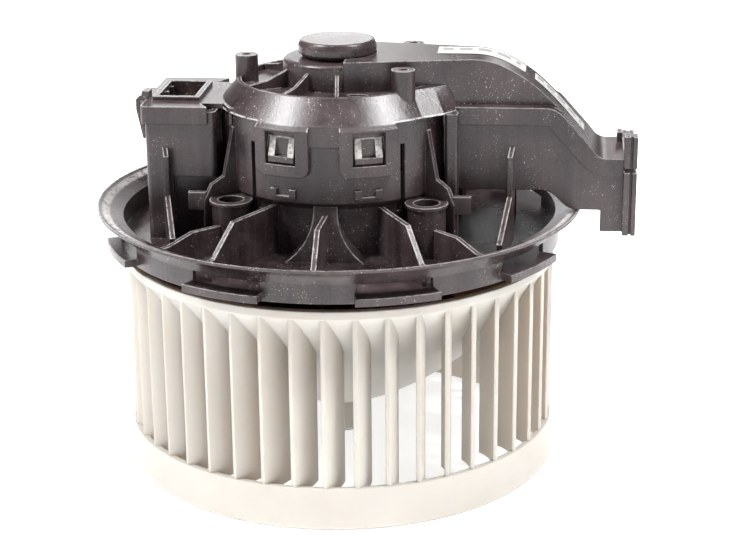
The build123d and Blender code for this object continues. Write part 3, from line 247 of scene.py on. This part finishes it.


# Mask for a painted highlight: 1 on the sloped faces of the catches, in patches: there the radius plus the
# slope times the height is constant, and the distance from the middle, along X, is between the catches' sides
def sheenOnCatches(tree, place, look):
    (footRadius, footHeight), (headRadius, headHeight) = look["catchFoot"], look["catchHead"]
    slope = (footRadius - headRadius) / (headHeight - footHeight)
    radius, height = radiusAndHeight(tree, place)
    onSlope = maths(tree, "ADD", radius, maths(tree, "MULTIPLY", height, slope))
    level = footRadius + slope * footHeight
    soft = look["catchSoft"]
    inBand = between(tree, onSlope, level - look["catchUnder"], level + look["catchFlat"], soft / 2)
    atHeight = between(tree, height, footHeight, headHeight, soft)
    fromMiddle = maths(tree, "ABSOLUTE", partOf(tree, place, "X"), 0.0)
    sides = between(tree, fromMiddle, *look["catchSides"], soft)
    face = maths(tree, "MULTIPLY", inBand, maths(tree, "MULTIPLY", atHeight, sides))
    patches = ramp(tree, noiseAt(tree, place, look["sheenPatchSize"], 4, 0.8), [(0.34, 0.25), (0.58, 1.0)])
    return maths(tree, "MULTIPLY", face, patches)


# Colour, then a painted highlight on the edges that face up, a painted highlight on the catches' slopes, and
# dust. The relief is four tenths grain and six tenths streaks, on a normal that is rounded at the edges
def mouldingFinish(name, look):
    finish, tree, shader, place = newFinish(name)
    normal = roundedNormal(tree, look["edgeRadius"])
    colour, cloud = mouldingColour(tree, place, look)
    # Painted highlight: edges that face up are lightened towards a pale colour, broken into patches
    highlightPatches = ramp(tree, noiseAt(tree, place, look["highlightPatchSize"], 3, 0.7), [(0.32, 0.0), (0.52, 1.0)])
    paintedEdgeHighlight = maths(tree, "MULTIPLY", litEdgeMask(tree, normal, look["edgeReach"], *look["edgeOpen"]), highlightPatches)
    colour = mixColours(tree, maths(tree, "MULTIPLY", paintedEdgeHighlight, look["edgeHighlightStrength"]), colour, look["paintedEdgeHighlight"])
    # Painted highlight on the catches' slopes, in the pale colour of the dust
    catchSheen = sheenOnCatches(tree, place, look)
    colour = mixColours(tree, catchSheen, colour, look["dustAndSheen"])
    # Dust specks, in the pale colour that the catches' painted highlight also takes
    dustAndSheen = maths(tree, "MAXIMUM", *(specks(tree, place, *values) for values in look["dustSizes"]))
    colour = mixColours(tree, dustAndSheen, colour, look["dustAndSheen"])
    tree.links.new(colour, shader.inputs["Base Color"])
    matt = maths(tree, "MULTIPLY", maths(tree, "MAXIMUM", dustAndSheen, catchSheen), look["dustRoughness"])
    gloss = maths(tree, "ADD", variedGloss(tree, cloud, look), matt, clamp=True)
    tree.links.new(gloss, shader.inputs["Roughness"])
    grain = noiseAt(tree, place, look["grainSize"], 3, 0.7)
    streaks = noiseAt(tree, place, look["streakSize"], 2, 0.6, stretch=(1, 1, 0.05))
    relief = maths(tree, "ADD", maths(tree, "MULTIPLY", grain, 0.4), maths(tree, "MULTIPLY", streaks, 0.6))
    tree.links.new(bumpFrom(tree, relief, look["relief"], 0.7, normal), shader.inputs["Normal"])
    return finish


blackFinish = mouldingFinish("blackMoulding", moulding)
capFinish = mouldingFinish("capMoulding", {
    **moulding, "roughness": 0.27, "relief": 0.00001, "edgeRadius": 0.0009, "edgeHighlightStrength": 0.0,
})
print("black mouldings done")


# Ivory plastic of the fan

ivory = {
    "base": (0.485, 0.458, 0.417),
    "pale": (0.530, 0.512, 0.480),
    "cloudSize": 26,
    "roughness": 0.40,
    "glossDip": 0.05,
    "glossSpread": 0.12,
    "glow": 0.35,           # light that goes into the plastic and comes out again
    "glowDepth": (0.006, 0.004, 0.0025),
    "edgeRadius": 0.0007,
    "grainSize": 900,
    "relief": 0.00003,
}


# Clouds between the base colour and a paler one, which also vary the gloss, and a fine grain
def ivoryFinish(look):
    finish, tree, shader, place = newFinish("ivoryMoulding")
    normal = roundedNormal(tree, look["edgeRadius"])
    cloud = noiseAt(tree, place, look["cloudSize"], 4, 0.55)
    tone = ramp(tree, cloud, [(0.35, 0.0), (0.68, 1.0)])
    tree.links.new(mixColours(tree, tone, look["base"], look["pale"]), shader.inputs["Base Color"])
    tree.links.new(variedGloss(tree, cloud, look), shader.inputs["Roughness"])
    shader.inputs["Subsurface Weight"].default_value = look["glow"]
    shader.inputs["Subsurface Radius"].default_value = look["glowDepth"]
    shader.inputs["Subsurface Scale"].default_value = 1.0
    grain = noiseAt(tree, place, look["grainSize"], 2)
    tree.links.new(bumpFrom(tree, grain, look["relief"], 0.4, normal), shader.inputs["Normal"])
    return finish


fanFinish = ivoryFinish(ivory)
print("ivory moulding done")


# Metals, rubber, carbon and card of the motor inside

inside = {
    "plated_steel": {"colour": (0.60, 0.60, 0.58), "metallic": 1.0, "roughness": 0.34, "scale": 160},
    "steel": {"colour": (0.56, 0.56, 0.57), "metallic": 1.0, "roughness": 0.22, "scale": 300},
    "spring_steel": {"colour": (0.44, 0.44, 0.46), "metallic": 1.0, "roughness": 0.30, "scale": 300},
    "lamination_steel": {"colour": (0.28, 0.28, 0.30), "metallic": 1.0, "roughness": 0.42, "scale": 220},
    "copper_wire": {"colour": (0.50, 0.20, 0.08), "metallic": 0.8, "roughness": 0.35, "scale": 500},
    "copper": {"colour": (0.72, 0.38, 0.22), "metallic": 1.0, "roughness": 0.28, "scale": 300},
    "brass": {"colour": (0.74, 0.55, 0.24), "metallic": 1.0, "roughness": 0.28, "scale": 300},
    "bearing_bronze": {"colour": (0.48, 0.32, 0.15), "metallic": 0.9, "roughness": 0.50, "scale": 900},
    "ferrite": {"colour": (0.06, 0.06, 0.065), "metallic": 0.0, "roughness": 0.60, "scale": 900},
    "carbon": {"colour": (0.035, 0.035, 0.038), "metallic": 0.1, "roughness": 0.50, "scale": 900},
    "card": {"colour": (0.26, 0.12, 0.05), "metallic": 0.0, "roughness": 0.55, "scale": 400},
    "rubber": {"colour": (0.022, 0.022, 0.023), "metallic": 0.0, "roughness": 0.70, "scale": 700},
}
insideGrain = {
    "darker": 0.72,          # share of the colour that is left in the dark grain
    "glossDip": 0.06,
    "glossSpread": 0.16,
    "edgeRadius": 0.0003,
    "relief": 0.00004,
}


# Grain between the colour and a darker one, which also varies the gloss and the relief
def insideFinish(name, look):
    finish, tree, shader, place = newFinish(name)
    normal = roundedNormal(tree, look["edgeRadius"])
    grain = noiseAt(tree, place, look["scale"], 4, 0.6)
    tone = ramp(tree, grain, [(0.35, 0.0), (0.65, 1.0)])
    darker = [channel * look["darker"] for channel in look["colour"]]
    tree.links.new(mixColours(tree, tone, darker, look["colour"]), shader.inputs["Base Color"])
    shader.inputs["Metallic"].default_value = look["metallic"]
    tree.links.new(variedGloss(tree, grain, look), shader.inputs["Roughness"])
    tree.links.new(bumpFrom(tree, grain, look["relief"], 0.4, normal), shader.inputs["Normal"])
    return finish


finishes = {slot: insideFinish(slot, {**insideGrain, **look}) for slot, look in inside.items()}
finishes["housing_plastic"] = blackFinish
finishes["connector_plastic"] = blackFinish
finishes["cap_plastic"] = capFinish
finishes["fan_plastic"] = fanFinish

for part in frame["record"]["subparts"]:
    node = nodes[part["node"]]
    node.data.materials.clear()
    node.data.materials.append(finishes[part["material_slot"]])
print("finishes on", len(nodes), "nodes")


# Coil springs, each a smooth copy of a spring's solid, which is hidden

springs = {
    "brush_spring_1": {"joint": "brush_1_slide", "fixedEnd": 1},     # 1 is the end at the larger X
    "brush_spring_2": {"joint": "brush_2_slide", "fixedEnd": 0},
}
mergeDistance = 0.000001


# A copy of the solid with its triangles joined and shaded smooth, hung on the housing in place of the solid
def springPiece(name):
    mesh = nodes[name].data.copy()
    joined = bmesh.new()
    joined.from_mesh(mesh)
    bmesh.ops.remove_doubles(joined, verts=joined.verts, dist=mergeDistance)
    joined.to_mesh(mesh)
    joined.free()
    mesh.polygons.foreach_set("use_smooth", np.ones(len(mesh.polygons), bool))
    piece = bpy.data.objects.new(f"{name}_coil", mesh)
    bpy.context.scene.collection.objects.link(piece)
    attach(piece, "housing")
    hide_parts(name)
    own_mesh(piece)


for name, look in springs.items():
    springPiece(name)
print("springs made")


# Blank labels on top of the duct

labels = {
    "front": {"from": 0.0338, "to": 0.0633, "near": -0.0020, "far": 0.0090},
    "slope": {"from": 0.0664, "to": 0.0833, "near": -0.0016, "far": 0.0076},
}
labelLift = 0.00015
labelRows, labelColumns = 60, 8
labelLook = {
    "paper": (0.46, 0.455, 0.44),
    "paperPale": (0.54, 0.53, 0.515),
    "print": (0.16, 0.155, 0.155),
    "grainSize": 900,
    "blocks": 4.6,                     # grey fields along the label
    "field": (0.10, 0.80, 0.02),       # start, end and softness, as shares of a block or of the label
    "farHalf": (0.48, 0.84, 0.03),
    "nearHalf": (0.14, 0.40, 0.03),
    "printed": (0.05, 0.94, 0.01),
    "fieldInk": 0.75,
    "strokeInk": 0.35,
    "strokeSize": 1500,
    "roughness": 0.5,
}
ductReach = (0.030, 0.087)       # where the duct's top is read, along X
ductEdges = (0.0095, 0.0135)     # its outer edges, from the middle
belowDuct = -1.0                 # a height lower than all of it


# Height of the duct's top at each x: the highest of the straight lines over it between two cover vertices on
# the duct's edges, where the top is level up to its highest vertex
def ductTop(x):
    cover = nodes["top_cover"].data
    points = np.empty(len(cover.vertices) * 3)
    cover.vertices.foreach_get("co", points)
    points = points.reshape(-1, 3)
    across = np.abs(points[:, 1])
    reached = (points[:, 0] > ductReach[0]) & (points[:, 0] < ductReach[1])
    onEdge = points[reached & (across > ductEdges[0]) & (across < ductEdges[1])]
    along, place = np.unique(np.round(onEdge[:, 0], 5), return_inverse=True)     # to 0.01 mm
    height = np.full(len(along), belowDuct)
    np.maximum.at(height, place, onEdge[:, 2])
    along, height = np.append(ductReach[0], along), np.append(height.max(), height)
    first, second = np.triu_indices(len(along), 1)
    slope = (height[second] - height[first]) / (along[second] - along[first])
    lines = height[first] + slope * (x[:, None] - along[first])
    over = (along[first] <= x[:, None]) & (x[:, None] <= along[second])
    return np.where(over, lines, belowDuct).max(axis=1)


# A grid of rows x columns points joined into four-sided faces, with UV from 0 to 1 both ways
def sheetMesh(name, points, rows, columns):
    number = np.arange(rows * columns).reshape(rows, columns)
    corners = np.stack((number[:-1, :-1], number[1:, :-1], number[1:, 1:], number[:-1, 1:]), -1)
    corners = corners.reshape(-1, 4)
    mesh = bpy.data.meshes.new(name)
    mesh.from_pydata(points.tolist(), [], corners.tolist())
    across, along = np.meshgrid(np.linspace(0, 1, columns), np.linspace(0, 1, rows))
    spread = np.stack((along.ravel(), across.ravel()), -1)[corners.ravel()]
    mesh.uv_layers.new(name="UVMap").data.foreach_set("uv", spread.ravel())
    mesh.update()
    piece = bpy.data.objects.new(name, mesh)
    bpy.context.scene.collection.objects.link(piece)
    return piece


# A thin sheet laid over the duct: x runs along it, y across it, z is the height of its top plus a lift
def labelPiece(name, look, finish):
    along = np.linspace(look["from"], look["to"], labelRows)
    across = np.linspace(look["near"], look["far"], labelColumns)
    x, y = np.meshgrid(along, across, indexing="ij")
    z = np.repeat(ductTop(along)[:, None], labelColumns, axis=1) + labelLift
    piece = sheetMesh(name, np.stack((x, y, z), -1).reshape(-1, 3), labelRows, labelColumns)
    piece.data.materials.append(finish)
    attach(piece, "housing")


# Paper with a row of grey fields along its far half and a fainter row of strokes along its near half
def labelFinish(look):
    finish, tree, shader, place = newFinish("labelPaper")
    sheet = putNode(tree, "ShaderNodeTexCoord").outputs["UV"]
    along, across = partOf(tree, sheet, "X"), partOf(tree, sheet, "Y")
    tone = ramp(tree, noiseAt(tree, place, look["grainSize"], 3), [(0.3, 0.0), (0.7, 1.0)])
    paper = mixColours(tree, tone, look["paper"], look["paperPale"])
    block = maths(tree, "FRACT", maths(tree, "MULTIPLY", along, look["blocks"]), 0.0)
    fields = between(tree, block, *look["field"])
    fields = maths(tree, "MULTIPLY", fields, between(tree, across, *look["farHalf"]))
    fields = maths(tree, "MULTIPLY", fields, look["fieldInk"])
    strokes = noiseAt(tree, place, look["strokeSize"], 2, stretch=(1, 0.15, 0.15))
    strokes = ramp(tree, strokes, [(0.46, 0.0), (0.54, 1.0)])
    strokes = maths(tree, "MULTIPLY", strokes, between(tree, across, *look["nearHalf"]))
    strokes = maths(tree, "MULTIPLY", strokes, look["strokeInk"])
    printed = between(tree, along, *look["printed"])
    ink = maths(tree, "MULTIPLY", maths(tree, "MAXIMUM", fields, strokes), printed)
    tree.links.new(mixColours(tree, ink, paper, look["print"]), shader.inputs["Base Color"])
    shader.inputs["Roughness"].default_value = look["roughness"]
    return finish


labelPaper = labelFinish(labelLook)
for name, look in labels.items():
    labelPiece(f"duct_label_{name}", look, labelPaper)
print("labels laid on the duct")


# Floor and soft studio light, in metres and watts

studio = {
    "floorSize": 6.0,
    "floorColour": (0.93, 0.93, 0.93),
    "floorRoughness": 0.9,
    "floorGlow": 0.65,      # the table is lit a little from below
    "skyColour": (1.0, 0.995, 0.99),
    "skyStrength": 0.16,
    "lightTarget": (0.01, 0, 0),
    "lights": {
        "topSoft": {"place": (0.02, 0.10, 1.0), "size": (0.9, 0.6), "power": 4.0},
        "topLeft": {"place": (-0.74, -0.26, 1.05), "size": (0.34, 0.34), "power": 20.0},
        "topRight": {"place": (0.76, -0.18, 1.12), "size": (0.34, 0.34), "power": 20.0},
        "backSoft": {"place": (-0.50, 1.60, 0.42), "size": (0.86, 0.34), "power": 3.4},
        "backRight": {"place": (0.26, 1.60, 0.46), "size": (0.24, 0.30), "power": 0.9},
        "keyLeft": {"place": (-0.95, -0.25, 0.55), "size": (0.35, 0.8), "power": 1.8},
        "keyRight": {"place": (0.95, -0.35, 0.50), "size": (0.35, 0.7), "power": 1.1},
        "frontFill": {"place": (0.12, -1.30, 0.16), "size": (1.2, 0.4), "power": 1.3},
    },
}


def buildFloor(look, height):
    edge = look["floorSize"] / 2
    points = [(-edge, -edge, height), (edge, -edge, height), (edge, edge, height), (-edge, edge, height)]
    mesh = bpy.data.meshes.new("floor")
    mesh.from_pydata(points, [], [(0, 1, 2, 3)])
    floor = bpy.data.objects.new("floor", mesh)
    bpy.context.scene.collection.objects.link(floor)
    finish, _, shader, _ = newFinish("floorPaper")
    shader.inputs["Base Color"].default_value = (*look["floorColour"], 1)
    shader.inputs["Roughness"].default_value = look["floorRoughness"]
    shader.inputs["Emission Color"].default_value = (*look["floorColour"], 1)
    shader.inputs["Emission Strength"].default_value = look["floorGlow"]
    mesh.materials.append(finish)


def buildLights(look):
    world = bpy.data.worlds.new("studio")
    world.use_nodes = True
    sky = world.node_tree.nodes["Background"]
    sky.inputs["Color"].default_value = (*look["skyColour"], 1)
    sky.inputs["Strength"].default_value = look["skyStrength"]
    bpy.context.scene.world = world

    for name, light in look["lights"].items():
        lamp = bpy.data.lights.new(name, "AREA")
        lamp.shape = "RECTANGLE"
        lamp.size, lamp.size_y = light["size"]
        lamp.energy = light["power"]
        holder = bpy.data.objects.new(name, lamp)
        holder.location = light["place"]
        towards = Vector(look["lightTarget"]) - holder.location
        holder.rotation_euler = towards.to_track_quat("-Z", "Y").to_euler()
        bpy.context.scene.collection.objects.link(holder)


buildFloor(studio, cadBox[0][2])
buildLights(studio)
print("studio built")


# Camera where the photograph was taken from

view = {
    "place": (0.073746, -0.616789, 0.189760),
    "sensorWidth": 36,
    "pitch": 18.5507,   # degrees down
    "yaw": 6.0,         # degrees round from looking along +Y
    "roll": -0.5754,
    "focalPixels": 1871.54,
    "frameWidth": 732,
    "nearest": 0.01,
}


def buildCamera(look):
    pitch, yaw, roll = (math.radians(look[name]) for name in ("pitch", "yaw", "roll"))
    turn = Matrix.Rotation(yaw, 3, "Z")
    right = turn @ Vector((1, 0, 0))
    ahead = turn @ Vector((0, math.cos(pitch), -math.sin(pitch)))
    up = right.cross(ahead)
    rolledRight = right * math.cos(roll) + up * math.sin(roll)
    rolledUp = up * math.cos(roll) - right * math.sin(roll)
    camera = bpy.data.objects.new("camera", bpy.data.cameras.new("camera"))
    camera.data.sensor_width = look["sensorWidth"]
    camera.data.lens = look["focalPixels"] / look["frameWidth"] * look["sensorWidth"]
    axes = Matrix((rolledRight, rolledUp, -ahead)).transposed().to_4x4()
    camera.matrix_world = Matrix.Translation(look["place"]) @ axes
    camera.data.clip_start = look["nearest"]
    bpy.context.scene.collection.objects.link(camera)
    bpy.context.scene.camera = camera


buildCamera(view)
bpy.context.scene.view_settings.view_transform = "Standard"
print("camera set")
